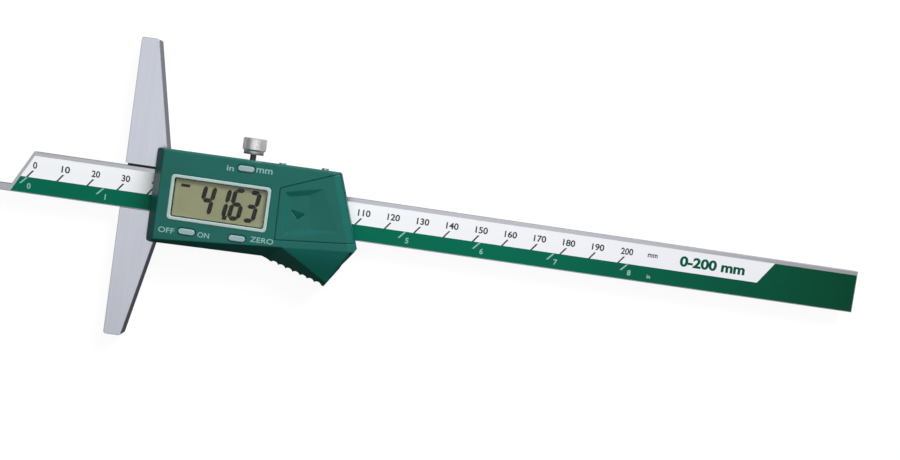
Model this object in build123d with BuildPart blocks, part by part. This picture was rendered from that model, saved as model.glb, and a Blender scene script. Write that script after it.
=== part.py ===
from build123d import *
import os

# A digital depth caliper with a 200 mm range. Millimetres. The instrument lies on its back: +Z is
# the direction its display faces, +X runs along the beam from the measuring tip, and +Y points to
# the lock screw. The origin is under the middle of the beam, on its centreline, at the rest plane.

# ---- beam ---------------------------------------------------------------------------------------
BEAM_LENGTH = 292.4
BEAM_WIDTH = 14.2
BEAM_THICKNESS = 3.45
READING = 41.63            # how far the tip stands out of the base at rest
MEASURING_RANGE = 200.0
TONGUE_LENGTH = 5.3        # narrow nose left at the tip by the slanted cut
TONGUE_WIDTH = 2.45
SLANT_RUN = 6.2            # length along X of the slanted cut
BEAM_EDGE = 0.12           # broken edges of the beam
LABEL_TOP_RIM = 1.4        # bare steel left along each side of the printed scale
LABEL_LOW_RIM = 0.25
LABEL_END_RIM = 0.25
LABEL_TIP_RIM = 1.1
LABEL_THICKNESS = 0.15
STRIP_THICKNESS = 0.35
STOP_SIZE = (8.0, 11.0)    # plate under the far end that stops the slider
STOP_BACK_Z = 0.6
STOP_CLEARANCE = 0.3
STOP_SCREW_RADIUS = 0.8
STOP_SCREW_HEAD = 1.5
STOP_SCREW_TOP_Z = 5.2
STOP_SCREW_SPACING = 6.0

X_TIP = -BEAM_LENGTH / 2
X_DATUM = X_TIP + READING  # the base's measuring face
HALF_BEAM = BEAM_WIDTH / 2

# ---- heights above the rest plane ---------------------------------------------------------------
SLOT_FLOOR_Z = 3.0
BEAM_BACK_Z = 3.05
BEAM_FRONT_Z = BEAM_BACK_Z + BEAM_THICKNESS
STEEL_FRONT_Z = 6.6
BOARD_THICKNESS = 0.8
BOARD_TOP_Z = STEEL_FRONT_Z + BOARD_THICKNESS
CASE_FRONT_Z = 15.2
CASE_WALL = 1.3
CASE_INSIDE_Z = CASE_FRONT_Z - CASE_WALL

# ---- base and slider; from here on, x is measured from the measuring face ------------------------
BASE_LENGTH = 100.0
BASE_ROOT = 16.1           # depth of the base on the beam's centreline
BASE_TAPER = 0.208         # how much it narrows per millimetre along a blade
BLADE_CORNER = 0.8
STEEL_LOW_Y = -15.2
STEEL_TOP_Y = 14.2
STEEL_END = 70.0
RUNNING_GAP = 0.05
SLOT_TOP_Y = 8.6
MOUTH_GAP = 0.75           # over the beam's upper edge, left of the gib
STEEL_EDGE = 0.15

# ---- gib, its set screws and the lock screw ------------------------------------------------------
SCREW_Z = 4.85
GIB_START = 12.0
GIB_END = 68.0
GIB_OUTER_Y = SLOT_TOP_Y - 0.15
GIB_SCREW_RADIUS = 1.2
GIB_SCREWS = [(51.5, 15.2), (65.9, 15.5)]     # position along the slider, height of the outer end
DRIVER_SLOT = 0.45
CROSS_SPAN = 1.5           # length of a cross recess, in head radii
LOCK_X = 41.4
LOCK_STEM_RADIUS = 1.0
LOCK_HEAD_RADIUS = 3.9
LOCK_HEAD_LOW_Y = 16.6
LOCK_HEAD_TOP_Y = 22.1
LOCK_FOOT_RADIUS = 3.3     # the head is turned down under its knurl and rounded at its crown
LOCK_FOOT_HEIGHT = 1.1
LOCK_CROWN_RADIUS = 3.4
LOCK_CROWN_HEIGHT = 0.3
KNURL_COUNT = 40
KNURL_SIZE = 0.26

# ---- case ---------------------------------------------------------------------------------------
CASE_LEFT = 10.5
CASE_LOW_Y = -16.55
CASE_TOP_LEFT = (CASE_LEFT, 14.5)
CASE_TOP_RIGHT = (71.7, 15.0)
CASE_RIGHT = (80.2, -9.7)
GRIP_TIP = (70.95, -23.55)
GRIP_START = (46.5, CASE_LOW_Y)
GRIP_SAG = (49.6, -17.05)          # the grip's lower edge leaves the case in a shallow arc
GRIP_BEND = (52.0, -18.2)
GRIP_BACK_Z = 1.0
GRIP_SHOULDER = [(48.0, -10.0), (48.0, -16.0), (75.0, -17.0), CASE_RIGHT, (79.0, -6.0)]
GRIP_ROOT_Y = STEEL_LOW_Y - 0.2    # the grip stays clear of the slider's lower edge
GRIP_CREST = [(56.0, -12.1, CASE_FRONT_Z), (70.4, -21.2, 12.2)]   # crease from the front to the tip
GRIP_FLANK_FOOT = (60.0, -20.4, 7.0)
BEAM_ROOM = 0.5            # clearance over the beam where the case reaches past the slider
CASE_CORNER = 1.0
RIDGE_LEFT = (CASE_LEFT, -15.6)    # crease where the front turns down to the lower flank
RIDGE_RIGHT = (78.8, -10.3)
LEFT_BEVEL = (3.3, 6.0)            # inset from the outline, drop from the front
TOP_BEVEL = (0.5, 1.2)
RIGHT_BEVEL = (2.3, CASE_WALL)
GRIP_END_BEVEL = (1.2, 4.0)
LOW_FLANK_FOOT = (30.0, CASE_LOW_Y, 10.2)
DISPLAY_HOLLOW = [(14.6, 13.1), (51.9, 13.1), (51.9, -11.0), (14.6, -13.8)]
BATTERY_HOLLOW = [(53.2, 13.1), (69.0, 13.1), (69.0, -9.8), (53.2, -10.9)]
BATTERY_HOLLOW_Z = 12.3
TOOTH_PITCH = 2.68
TOOTH_RADIUS = 1.5
TOOTH_DEPTH = 0.75
TOOTH_COUNT = 7
TOOTH_SPAN = 18.2          # from the grip's tip back to its first groove

# ---- fasteners through the slider and the board --------------------------------------------------
BOARD_CENTRE = (41.2, -0.3)
BOARD_SIZE = (54.4, 26.8)
CASE_SCREWS = [(17.0, 11.3), (58.5, 11.3), (17.0, -11.8), (58.5, -10.2)]
CASE_SCREW_RADIUS = 1.0
CASE_SCREW_HEAD = 2.0
CASE_SCREW_TOP_Z = 11.0
BOARD_SCREWS = [(29.0, 10.9), (47.5, 10.9), (32.8, -11.5), (50.0, -11.5)]
BOARD_SCREW_RADIUS = 0.7
BOARD_SCREW_HEAD = 1.3
BOARD_SCREW_HEAD_HEIGHT = 0.8
BOARD_SCREW_TOP_Z = 11.5
BOSS_RADIUS = 2.0
SMALL_BOSS_RADIUS = 1.6
HOLE_GAP = 0.1
CHIP_RADIUS = 4.5
CHIP_HEIGHT = 1.4
CHIP_ROUNDING = 1.1

# ---- display ------------------------------------------------------------------------------------
DISPLAY_CENTRE = (33.7, -0.7)
BEZEL_SIZE = (32.8, 15.0)
BEZEL_OPENING = (30.6, 12.8)
BEZEL_FRONT_Z = CASE_FRONT_Z + 0.25
BEZEL_CORNER = 1.3
BEZEL_EDGE = 0.2
OPENING_CORNER = 0.7
WINDOW_THICKNESS = 0.7
PANEL_SIZE = (34.4, 16.4)
PANEL_TOP_Z = 13.6
PANEL_THICKNESS = 1.8
PANEL_LEDGE = 1.6          # the front glass is narrower than the back one by this much
HOLDER_SIZE = (35.2, 17.6)
HOLDER_OPENING = (32.4, 14.8)
ZEBRA_SIZE = (30.0, 1.8)
FIT_GAP = 0.05

# ---- buttons ------------------------------------------------------------------------------------
BUTTONS = {"button_off_on": (24.5, -11.5), "button_zero": (41.0, -11.3), "button_unit": (41.0, 11.8)}
BUTTON_SIZE = (5.4, 1.9)
BUTTON_PROUD = 0.45
BUTTON_EDGE = 0.3
BUTTON_FLANGE = (6.8, 3.3)
BUTTON_FLANGE_HEIGHT = 0.5
BUTTON_STEM_RADIUS = 0.7
BUTTON_STEM_Z = 8.35
BUTTON_GAP = 0.12           # around a button's flange
BUTTON_WINDOW_GAP = 0.3     # around a button in the case's front
DOME_RADIUS = 1.7
DOME_HEIGHT = 0.5

# ---- battery, its cover and contacts -------------------------------------------------------------
BATTERY_CENTRE = (63.0, -0.9)
BATTERY_RADIUS = 5.8
BATTERY_THICKNESS = 5.4
BATTERY_LOW_Z = 7.75
BATTERY_STEP = 0.6         # the negative cap is narrower and lower than the can
BATTERY_EDGE = 0.4
WELL_GAP = 0.3
WELL_WALL = 1.2
CONTACT_THICKNESS = 0.3
CONTACT_WIDTH = 3.0
NEGATIVE_DISC_RADIUS = 2.9
NEGATIVE_ARM = (10.4, 2.0)
COVER_OUTLINE = [(52.9, 7.1), (71.8, 14.6), (79.5, -7.6), (53.3, -9.9)]
COVER_GAP = 0.12
COVER_DISH = [(54.5, 6.1), (67.2, 9.0), (73.4, -4.4), (55.9, -8.5)]
DISH_FLOOR = [(56.2, 4.8), (62.8, 6.2), (64.0, -5.0), (57.2, -6.6)]
DISH_DEPTH = 0.6
ARROW = [(57.2, 0.5), (59.7, -2.2), (61.8, -0.3)]
ARROW_DEPTH = 0.4
RAIL_STARTS = [(52.2, 6.2), (52.2, -9.05)]     # middle of each rail's left end
RAIL_LENGTH = 17.8
RAIL_WIDTH = 1.2
RAIL_HEIGHT = 0.9
GROOVE_LENGTH = 32.0       # past the case's right end, so the rails can slide out


def at(z, x=0.0, y=0.0):
    """A level plane at height z, with its origin at x from the measuring face."""
    return Plane((X_DATUM + x, y, z))


def across(x, y, z):
    """A plane facing +Y, for the screws that enter the slider from its upper edge."""
    return Plane(origin=(X_DATUM + x, y, z), x_dir=(1, 0, 0), z_dir=(0, 1, 0))


def along_cover(z, x, y):
    """A level plane whose own x axis is the way the battery cover slides: along its lower edge."""
    right, left = COVER_OUTLINE[2], COVER_OUTLINE[3]
    slide = Vector(right[0] - left[0], right[1] - left[1], 0)
    return Plane(origin=(X_DATUM + x, y, z), x_dir=slide, z_dir=(0, 0, 1))


def centre_of(low, high):
    return (low + high) / 2


def through(a, b, c):
    """The plane through three points of the slider, facing away from the instrument's back."""
    first, second, third = (Vector(X_DATUM + p[0], p[1], p[2]) for p in (a, b, c))
    normal = (second - first).cross(third - first)
    if normal.Z < 0:
        normal = normal * -1
    return Plane(origin=first, z_dir=normal)


def bevel(start, end, inset, drop):
    """The sloping plane that takes the front edge off one side of the case outline. The case lies
    to the left of the line from start to end."""
    run = Vector(end[0] - start[0], end[1] - start[1], 0).normalized()
    inward = Vector(-run.Y, run.X, 0) * inset
    low = CASE_FRONT_Z - drop
    top = (start[0] + inward.X, start[1] + inward.Y, CASE_FRONT_Z)
    return through((*start, low), (*end, low), top)


def save(piece, label):
    piece.label = label
    export_step(piece, f"parts/{label}.step")


os.makedirs("parts", exist_ok=True)

# ---- the T-shaped base and the channel the beam runs in, one steel piece --------------------------
half_base = BASE_LENGTH / 2
tip_depth = BASE_ROOT - BASE_TAPER * half_base
with BuildPart() as base_slider:
    with BuildSketch(at(0)) as outline:
        Polygon(
            (0, -half_base),
            (tip_depth, -half_base),
            (BASE_ROOT + BASE_TAPER * STEEL_LOW_Y, STEEL_LOW_Y),
            (STEEL_END, STEEL_LOW_Y),
            (STEEL_END, STEEL_TOP_Y),
            (BASE_ROOT - BASE_TAPER * STEEL_TOP_Y, STEEL_TOP_Y),
            (tip_depth, half_base),
            (0, half_base),
            align=None,
        )
        fillet(outline.vertices().group_by(Axis.Y)[0], BLADE_CORNER)
        fillet(outline.vertices().group_by(Axis.Y)[-1], BLADE_CORNER)
    extrude(amount=STEEL_FRONT_Z)
    chamfer(base_slider.faces().sort_by(Axis.Z)[0].edges(), STEEL_EDGE)
    chamfer(base_slider.faces().sort_by(Axis.Z)[-1].edges(), STEEL_EDGE)
    slot_low_y = -HALF_BEAM - RUNNING_GAP
    mouth_top_y = HALF_BEAM + MOUTH_GAP
    pocket_start = GIB_START - RUNNING_GAP
    with BuildSketch(at(SLOT_FLOOR_Z)):
        Polygon(
            (-STEEL_END, slot_low_y),
            (STEEL_END * 2, slot_low_y),
            (STEEL_END * 2, SLOT_TOP_Y),
            (pocket_start, SLOT_TOP_Y),
            (pocket_start, mouth_top_y),
            (-STEEL_END, mouth_top_y),
            align=None,
        )
    extrude(amount=STEEL_FRONT_Z, mode=Mode.SUBTRACT)
    with BuildSketch(across(LOCK_X, STEEL_TOP_Y, SCREW_Z)):
        Circle(LOCK_STEM_RADIUS + RUNNING_GAP)
    extrude(amount=SLOT_TOP_Y - STEEL_TOP_Y, mode=Mode.SUBTRACT)
    for x, _ in GIB_SCREWS:
        with BuildSketch(across(x, STEEL_TOP_Y, SCREW_Z)):
            Circle(GIB_SCREW_RADIUS)
        extrude(amount=SLOT_TOP_Y - STEEL_TOP_Y, mode=Mode.SUBTRACT)
    for x, y in CASE_SCREWS:
        with Locations(Plane(origin=(X_DATUM + x, y, 0), z_dir=(0, 0, -1))):
            CounterSinkHole(CASE_SCREW_RADIUS + HOLE_GAP, CASE_SCREW_HEAD + HOLE_GAP)
    with BuildSketch(at(STEEL_FRONT_Z)):
        with Locations(*BOARD_SCREWS):
            Circle(BOARD_SCREW_HEAD + HOLE_GAP)
    extrude(amount=-BOARD_SCREW_HEAD_HEIGHT - HOLE_GAP, mode=Mode.SUBTRACT)
save(base_slider.part, "base_slider")

# ---- gib: the brass strip that takes up play along the beam's upper edge --------------------------
with BuildPart() as gib_strip:
    gib_inner_y = HALF_BEAM + RUNNING_GAP
    gib_middle = at(SLOT_FLOOR_Z, centre_of(GIB_START, GIB_END), centre_of(gib_inner_y, GIB_OUTER_Y))
    with BuildSketch(gib_middle):
        Rectangle(GIB_END - GIB_START, GIB_OUTER_Y - gib_inner_y)
    extrude(amount=BEAM_FRONT_Z - SLOT_FLOOR_Z)
    chamfer(gib_strip.edges().filter_by(Axis.Z), STEEL_EDGE)
save(gib_strip.part, "gib_strip")

with BuildPart() as gib_screws:
    for x, outer_y in GIB_SCREWS:
        with BuildSketch(across(x, outer_y, SCREW_Z)):
            Circle(GIB_SCREW_RADIUS)
        extrude(amount=GIB_OUTER_Y - outer_y)
        with BuildSketch(across(x, outer_y, SCREW_Z)):
            Rectangle(GIB_SCREW_RADIUS * 2, DRIVER_SLOT)
        extrude(amount=-GIB_SCREW_RADIUS / 2, mode=Mode.SUBTRACT)
save(gib_screws.part, "gib_screws")

# ---- lock screw: a knurled thumb screw that presses on the gib ------------------------------------
knurl_low_y = LOCK_HEAD_LOW_Y + LOCK_FOOT_HEIGHT
with BuildPart() as lock_screw:
    with BuildSketch(Plane(origin=(X_DATUM + LOCK_X, 0, SCREW_Z))):
        with BuildLine():
            Polyline(
                (0, SLOT_TOP_Y),
                (LOCK_STEM_RADIUS, SLOT_TOP_Y),
                (LOCK_STEM_RADIUS, LOCK_HEAD_LOW_Y),
                (LOCK_FOOT_RADIUS, LOCK_HEAD_LOW_Y),
                (LOCK_FOOT_RADIUS, knurl_low_y),
                (LOCK_HEAD_RADIUS, knurl_low_y + LOCK_HEAD_RADIUS - LOCK_FOOT_RADIUS),
                (LOCK_HEAD_RADIUS, LOCK_HEAD_TOP_Y - LOCK_CROWN_HEIGHT),
                (LOCK_CROWN_RADIUS, LOCK_HEAD_TOP_Y),
                (0, LOCK_HEAD_TOP_Y),
                close=True,
            )
        make_face()
    revolve(axis=Axis((X_DATUM + LOCK_X, 0, SCREW_Z), (0, 1, 0)))
    with BuildSketch(across(LOCK_X, LOCK_HEAD_TOP_Y, SCREW_Z)):
        with PolarLocations(LOCK_HEAD_RADIUS + KNURL_SIZE / 2, KNURL_COUNT):
            RegularPolygon(KNURL_SIZE, 3, rotation=180)
    extrude(amount=knurl_low_y - LOCK_HEAD_TOP_Y, mode=Mode.SUBTRACT)
save(lock_screw.part, "lock_screw")


# ---- beam with its scale --------------------------------------------------------------------------
def label_outline():
    """Corners of the printed scale: parallel to the beam's edges and to the slanted cut."""
    low = -HALF_BEAM + LABEL_LOW_RIM
    top = HALF_BEAM - LABEL_TOP_RIM
    slope = SLANT_RUN / (BEAM_WIDTH - TONGUE_WIDTH)
    cut_low_x = X_TIP + TONGUE_LENGTH + LABEL_TIP_RIM
    cut_low_y = TONGUE_WIDTH - HALF_BEAM
    right = -X_TIP - LABEL_END_RIM
    low_left = (cut_low_x + slope * (low - cut_low_y), low)
    top_left = (cut_low_x + slope * (top - cut_low_y), top)
    return [low_left, (right, low), (right, top), top_left]


pocket_z = BEAM_FRONT_Z - LABEL_THICKNESS - STRIP_THICKNESS
stop_left = X_DATUM + STEEL_END + MEASURING_RANGE - READING + STOP_CLEARANCE
stop_x = stop_left + STOP_SIZE[0] / 2
stop_screws = [(stop_x, -STOP_SCREW_SPACING / 2), (stop_x, STOP_SCREW_SPACING / 2)]

with BuildPart() as beam:
    with BuildSketch(Plane.XY.offset(BEAM_BACK_Z)):
        Polygon(
            (X_TIP, -HALF_BEAM),
            (-X_TIP, -HALF_BEAM),
            (-X_TIP, HALF_BEAM),
            (X_TIP + TONGUE_LENGTH + SLANT_RUN, HALF_BEAM),
            (X_TIP + TONGUE_LENGTH, TONGUE_WIDTH - HALF_BEAM),
            (X_TIP, TONGUE_WIDTH - HALF_BEAM),
            align=None,
        )
    extrude(amount=BEAM_THICKNESS)
    chamfer(beam.faces().sort_by(Axis.Z)[-1].edges(), BEAM_EDGE)
    chamfer(beam.faces().sort_by(Axis.Z)[0].edges(), BEAM_EDGE)
    with BuildSketch(Plane.XY.offset(pocket_z)):
        Polygon(*label_outline(), align=None)
    extrude(amount=BEAM_THICKNESS, mode=Mode.SUBTRACT)
    for x, y in stop_screws:
        with BuildSketch(Plane.XY.offset(BEAM_BACK_Z)):
            with Locations((x, y)):
                Circle(STOP_SCREW_RADIUS)
        extrude(amount=STOP_SCREW_TOP_Z - BEAM_BACK_Z, mode=Mode.SUBTRACT)
save(beam.part, "beam")

with BuildPart() as scale_strip:
    with BuildSketch(Plane.XY.offset(pocket_z)):
        Polygon(*label_outline(), align=None)
    extrude(amount=STRIP_THICKNESS)
save(scale_strip.part, "scale_strip")

with BuildPart() as scale_label:
    with BuildSketch(Plane.XY.offset(pocket_z + STRIP_THICKNESS)):
        Polygon(*label_outline(), align=None)
    extrude(amount=LABEL_THICKNESS)
save(scale_label.part, "scale_label")

# ---- end stop: a plate under the beam that meets the slider at full depth -------------------------
with BuildPart() as end_stop:
    with BuildSketch(Plane((stop_x, 0, STOP_BACK_Z))):
        RectangleRounded(*STOP_SIZE, BLADE_CORNER)
    extrude(amount=BEAM_BACK_Z - STOP_BACK_Z)
    for x, y in stop_screws:
        with Locations(Plane(origin=(x, y, STOP_BACK_Z), z_dir=(0, 0, -1))):
            CounterSinkHole(STOP_SCREW_RADIUS, STOP_SCREW_HEAD)
save(end_stop.part, "end_stop")


def countersunk_screw(length, radius, head_radius):
    """A screw standing on its flat head at the origin, with its shank along +Z."""
    with BuildPart() as screw:
        with BuildSketch(Plane.XZ):
            with BuildLine():
                Polyline(
                    (0, 0),
                    (head_radius, 0),
                    (radius, head_radius - radius),
                    (radius, length),
                    (0, length),
                    close=True,
                )
            make_face()
        revolve(axis=Axis.Z)
        with BuildSketch():
            Rectangle(head_radius * CROSS_SPAN, DRIVER_SLOT)
            Rectangle(DRIVER_SLOT, head_radius * CROSS_SPAN)
        extrude(amount=DRIVER_SLOT, mode=Mode.SUBTRACT)
    return screw.part


stop_screw = countersunk_screw(STOP_SCREW_TOP_Z - STOP_BACK_Z, STOP_SCREW_RADIUS, STOP_SCREW_HEAD)
with BuildPart() as end_stop_screws:
    for x, y in stop_screws:
        with Locations((x, y, STOP_BACK_Z)):
            add(stop_screw)
save(end_stop_screws.part, "end_stop_screws")

# ---- case: the moulded front with its thumb grip --------------------------------------------------
contact_x = BATTERY_CENTRE[0] - BATTERY_RADIUS - 2 * CONTACT_THICKNESS
ridge_left = (*RIDGE_LEFT, CASE_FRONT_Z)
ridge_right = (*RIDGE_RIGHT, CASE_FRONT_Z)
low_flank = through(ridge_left, ridge_right, LOW_FLANK_FOOT)
grip_slope = through(ridge_left, ridge_right, GRIP_CREST[1])
grip_flank = through(*GRIP_CREST, GRIP_FLANK_FOOT)
grip_end = bevel(GRIP_TIP, CASE_RIGHT, *GRIP_END_BEVEL)
right_end = bevel(CASE_RIGHT, CASE_TOP_RIGHT, *RIGHT_BEVEL)
grip_end_slope = (CASE_RIGHT[0] - GRIP_TIP[0]) / (CASE_RIGHT[1] - GRIP_TIP[1])
grip_meets_case = (GRIP_TIP[0] + grip_end_slope * (CASE_LOW_Y - GRIP_TIP[1]), CASE_LOW_Y)
grip_root = (grip_meets_case[0], GRIP_ROOT_Y)
tooth_run = Vector(GRIP_TIP[0] - GRIP_BEND[0], GRIP_TIP[1] - GRIP_BEND[1], 0).normalized()
tooth_out = Vector(tooth_run.Y, -tooth_run.X, 0) * (TOOTH_RADIUS - TOOTH_DEPTH)
first_tooth = Vector(*GRIP_TIP, 0) - tooth_run * TOOTH_SPAN + tooth_out

with BuildPart() as grip:
    with BuildSketch(at(GRIP_BACK_Z)):
        with BuildLine():
            ThreePointArc(GRIP_START, GRIP_SAG, GRIP_BEND)
            Polyline(GRIP_BEND, GRIP_TIP, grip_meets_case, grip_root)
            Polyline(grip_root, (GRIP_START[0], GRIP_ROOT_Y), GRIP_START)
        make_face()
    extrude(amount=CASE_FRONT_Z - GRIP_BACK_Z)
    with BuildSketch(at(STEEL_FRONT_Z)):
        Polygon(*GRIP_SHOULDER, align=None)
    extrude(amount=CASE_FRONT_Z - STEEL_FRONT_Z)
    for plane in (grip_slope, grip_flank, grip_end):
        split(bisect_by=plane, keep=Keep.BOTTOM)
    with BuildSketch(at(GRIP_BACK_Z)):
        for index in range(TOOTH_COUNT):
            place = first_tooth + tooth_run * (TOOTH_PITCH * index)
            with Locations((place.X, place.Y)):
                Circle(TOOTH_RADIUS)
    extrude(amount=CASE_FRONT_Z, mode=Mode.SUBTRACT)

with BuildPart() as case_front:
    with BuildSketch(at(STEEL_FRONT_Z)) as case_outline:
        Polygon(
            (CASE_LEFT, CASE_LOW_Y),
            grip_meets_case,
            CASE_RIGHT,
            CASE_TOP_RIGHT,
            CASE_TOP_LEFT,
            align=None,
        )
        fillet(case_outline.vertices(), CASE_CORNER)
    extrude(amount=CASE_FRONT_Z - STEEL_FRONT_Z)
    split(bisect_by=low_flank, keep=Keep.BOTTOM)
    split(bisect_by=bevel(CASE_TOP_LEFT, (CASE_LEFT, CASE_LOW_Y), *LEFT_BEVEL), keep=Keep.BOTTOM)
    split(bisect_by=bevel(CASE_TOP_RIGHT, CASE_TOP_LEFT, *TOP_BEVEL), keep=Keep.BOTTOM)
    add(grip.part)
    split(bisect_by=right_end, keep=Keep.BOTTOM)

    # hollow over the display, and a second one around the battery
    with BuildSketch(at(STEEL_FRONT_Z)):
        Polygon(*DISPLAY_HOLLOW, align=None)
    extrude(amount=CASE_INSIDE_Z - STEEL_FRONT_Z, mode=Mode.SUBTRACT)
    with BuildSketch(at(STEEL_FRONT_Z)):
        Polygon(*BATTERY_HOLLOW, align=None)
    extrude(amount=BATTERY_HOLLOW_Z - STEEL_FRONT_Z, mode=Mode.SUBTRACT)
    with BuildSketch(at(STEEL_FRONT_Z, *BATTERY_CENTRE)):
        Circle(BATTERY_RADIUS + WELL_GAP + WELL_WALL)
    extrude(amount=CASE_INSIDE_Z - STEEL_FRONT_Z)
    with BuildSketch(at(STEEL_FRONT_Z)):
        with Locations(*CASE_SCREWS):
            Circle(BOSS_RADIUS)
        with Locations(*BOARD_SCREWS):
            Circle(SMALL_BOSS_RADIUS)
    extrude(amount=CASE_INSIDE_Z - STEEL_FRONT_Z)

    # room for the board, and for the beam where the case reaches past the slider
    with BuildSketch(at(STEEL_FRONT_Z, *BOARD_CENTRE)):
        Rectangle(BOARD_SIZE[0] + 2 * HOLE_GAP, BOARD_SIZE[1] + 2 * HOLE_GAP)
    extrude(amount=BOARD_THICKNESS, mode=Mode.SUBTRACT)
    with BuildSketch(at(STEEL_FRONT_Z, STEEL_END, 0)):
        Rectangle(GROOVE_LENGTH, BEAM_WIDTH + BEAM_ROOM, align=(Align.MIN, Align.CENTER))
    extrude(amount=BEAM_ROOM, mode=Mode.SUBTRACT)

    # screw holes
    with BuildSketch(at(STEEL_FRONT_Z)):
        with Locations(*CASE_SCREWS):
            Circle(CASE_SCREW_RADIUS)
    extrude(amount=CASE_SCREW_TOP_Z - STEEL_FRONT_Z, mode=Mode.SUBTRACT)
    with BuildSketch(at(STEEL_FRONT_Z)):
        with Locations(*BOARD_SCREWS):
            Circle(BOARD_SCREW_RADIUS)
    extrude(amount=BOARD_SCREW_TOP_Z - STEEL_FRONT_Z, mode=Mode.SUBTRACT)

    # windows for the display and the buttons
    with BuildSketch(at(CASE_FRONT_Z, *DISPLAY_CENTRE)):
        RectangleRounded(BEZEL_SIZE[0] + FIT_GAP, BEZEL_SIZE[1] + FIT_GAP, BEZEL_CORNER)
    extrude(amount=-CASE_WALL, mode=Mode.SUBTRACT)
    with BuildSketch(at(CASE_FRONT_Z)):
        with Locations(*BUTTONS.values()):
            SlotOverall(*(side + 2 * BUTTON_WINDOW_GAP for side in BUTTON_SIZE))
    extrude(amount=-CASE_WALL, mode=Mode.SUBTRACT)

    # room behind the windows for the button flanges and the key domes
    with BuildSketch(at(BOARD_TOP_Z)):
        with Locations(*BUTTONS.values()):
            SlotOverall(*(side + 2 * BUTTON_GAP for side in BUTTON_FLANGE))
    extrude(amount=CASE_INSIDE_Z - BOARD_TOP_Z, mode=Mode.SUBTRACT)
    with BuildSketch(at(BOARD_TOP_Z)):
        with Locations(*BUTTONS.values()):
            Circle(DOME_RADIUS + HOLE_GAP)
    extrude(amount=DOME_HEIGHT + HOLE_GAP, mode=Mode.SUBTRACT)

    # battery well, the seat of the sliding cover and the grooves for its rails
    with BuildSketch(at(BOARD_TOP_Z, *BATTERY_CENTRE)):
        Circle(BATTERY_RADIUS + WELL_GAP)
    extrude(amount=CASE_FRONT_Z - BOARD_TOP_Z, mode=Mode.SUBTRACT)
    with BuildSketch(at(CASE_INSIDE_Z)) as cover_seat:
        Polygon(*COVER_OUTLINE, align=None)
        offset(amount=COVER_GAP)
    extrude(amount=CASE_WALL, mode=Mode.SUBTRACT)
    groove_top_z = CASE_INSIDE_Z + 2 * FIT_GAP
    for start in RAIL_STARTS:
        with BuildSketch(along_cover(groove_top_z, *start)):
            with Locations((-COVER_GAP, 0)):
                Rectangle(GROOVE_LENGTH, RAIL_WIDTH + 2 * COVER_GAP, align=(Align.MIN, Align.CENTER))
        extrude(amount=-RAIL_HEIGHT - 2 * COVER_GAP, mode=Mode.SUBTRACT)
    with BuildSketch(at(BOARD_TOP_Z, contact_x + CONTACT_WIDTH / 2, BATTERY_CENTRE[1])):
        Rectangle(CONTACT_WIDTH, CONTACT_WIDTH + 2 * HOLE_GAP)
    extrude(amount=CASE_INSIDE_Z - BOARD_TOP_Z, mode=Mode.SUBTRACT)
save(case_front.part, "case_front")

# ---- battery cover: a sliding door with a dished thumb rest and an arrow --------------------------
with BuildPart() as battery_cover:
    with BuildSketch(at(CASE_INSIDE_Z + FIT_GAP)):
        Polygon(*COVER_OUTLINE, align=None)
    extrude(amount=CASE_WALL - FIT_GAP)
    split(bisect_by=right_end, keep=Keep.BOTTOM)
    with BuildSketch(at(CASE_FRONT_Z)):
        Polygon(*COVER_DISH, align=None)
    with BuildSketch(at(CASE_FRONT_Z - DISH_DEPTH)):
        Polygon(*DISH_FLOOR, align=None)
    loft(ruled=True, mode=Mode.SUBTRACT)
    with BuildSketch(at(CASE_FRONT_Z - DISH_DEPTH)):
        Polygon(*ARROW, align=None)
    extrude(amount=-ARROW_DEPTH, mode=Mode.SUBTRACT)
    for start in RAIL_STARTS:
        with BuildSketch(along_cover(CASE_INSIDE_Z + FIT_GAP, *start)):
            Rectangle(RAIL_LENGTH, RAIL_WIDTH, align=(Align.MIN, Align.CENTER))
        extrude(amount=-RAIL_HEIGHT)
save(battery_cover.part, "battery_cover")

# ---- battery and its two contacts -----------------------------------------------------------------
with BuildPart() as battery:
    with BuildSketch(at(BATTERY_LOW_Z, *BATTERY_CENTRE)):
        Circle(BATTERY_RADIUS - BATTERY_STEP)
    extrude(amount=BATTERY_STEP)
    with BuildSketch(at(BATTERY_LOW_Z + BATTERY_STEP, *BATTERY_CENTRE)):
        Circle(BATTERY_RADIUS)
    extrude(amount=BATTERY_THICKNESS - BATTERY_STEP)
    fillet(battery.faces().sort_by(Axis.Z)[-1].edges(), BATTERY_EDGE)
save(battery.part, "battery")

with BuildPart() as battery_contact_negative:
    with BuildSketch(at(BOARD_TOP_Z, *BATTERY_CENTRE)):
        Circle(NEGATIVE_DISC_RADIUS)
        Rectangle(*NEGATIVE_ARM)
    extrude(amount=CONTACT_THICKNESS)
save(battery_contact_negative.part, "battery_contact_negative")

battery_top_z = BATTERY_LOW_Z + BATTERY_THICKNESS
with BuildPart() as battery_contact_positive:
    with BuildSketch(at(BOARD_TOP_Z, contact_x + CONTACT_THICKNESS, BATTERY_CENTRE[1])):
        Rectangle(CONTACT_THICKNESS, CONTACT_WIDTH)
    extrude(amount=battery_top_z + CONTACT_THICKNESS - BOARD_TOP_Z)
    with BuildSketch(at(battery_top_z, contact_x + CONTACT_WIDTH, BATTERY_CENTRE[1])):
        Rectangle(CONTACT_WIDTH * 2 - CONTACT_THICKNESS, CONTACT_WIDTH)
    extrude(amount=CONTACT_THICKNESS)
save(battery_contact_positive.part, "battery_contact_positive")

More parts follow.
